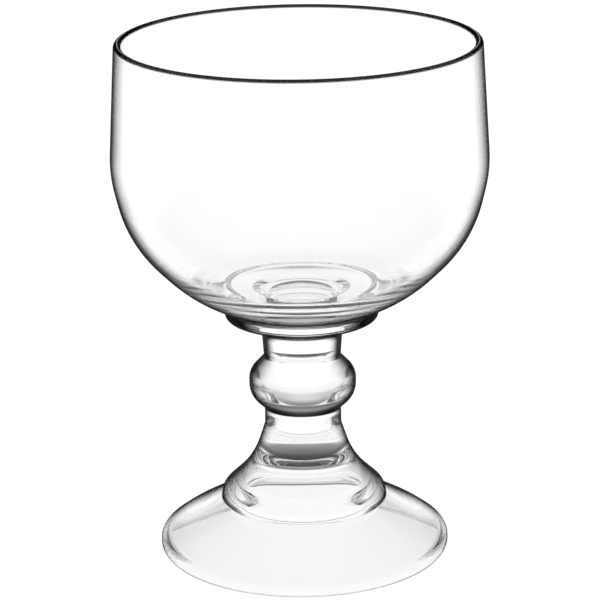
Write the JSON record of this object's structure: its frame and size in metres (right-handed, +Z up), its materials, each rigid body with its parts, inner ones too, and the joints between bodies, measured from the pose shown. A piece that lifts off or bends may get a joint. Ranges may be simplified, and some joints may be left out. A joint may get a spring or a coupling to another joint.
{
  "type": "schooner glass",
  "caption": "Clear glass schooner: a wide round bowl on a collar, a short knopped stem and a spreading hollow foot.",
  "frame": {"origin": "centre of the foot, on the plane that the glass stands on", "axes": "+Z up along the axis of the glass; +X and +Y level, alike all round"},
  "size_m": [0.116, 0.116, 0.1635],
  "materials": {
    "clear_glass": "clear, fire polished"
  },
  "bodies": {
    "root": {"foot": "clear_glass", "stem": "clear_glass", "knop": "clear_glass", "neck": "clear_glass", "collar": "clear_glass", "bowl": "clear_glass"}
  },
  "joints": []
}
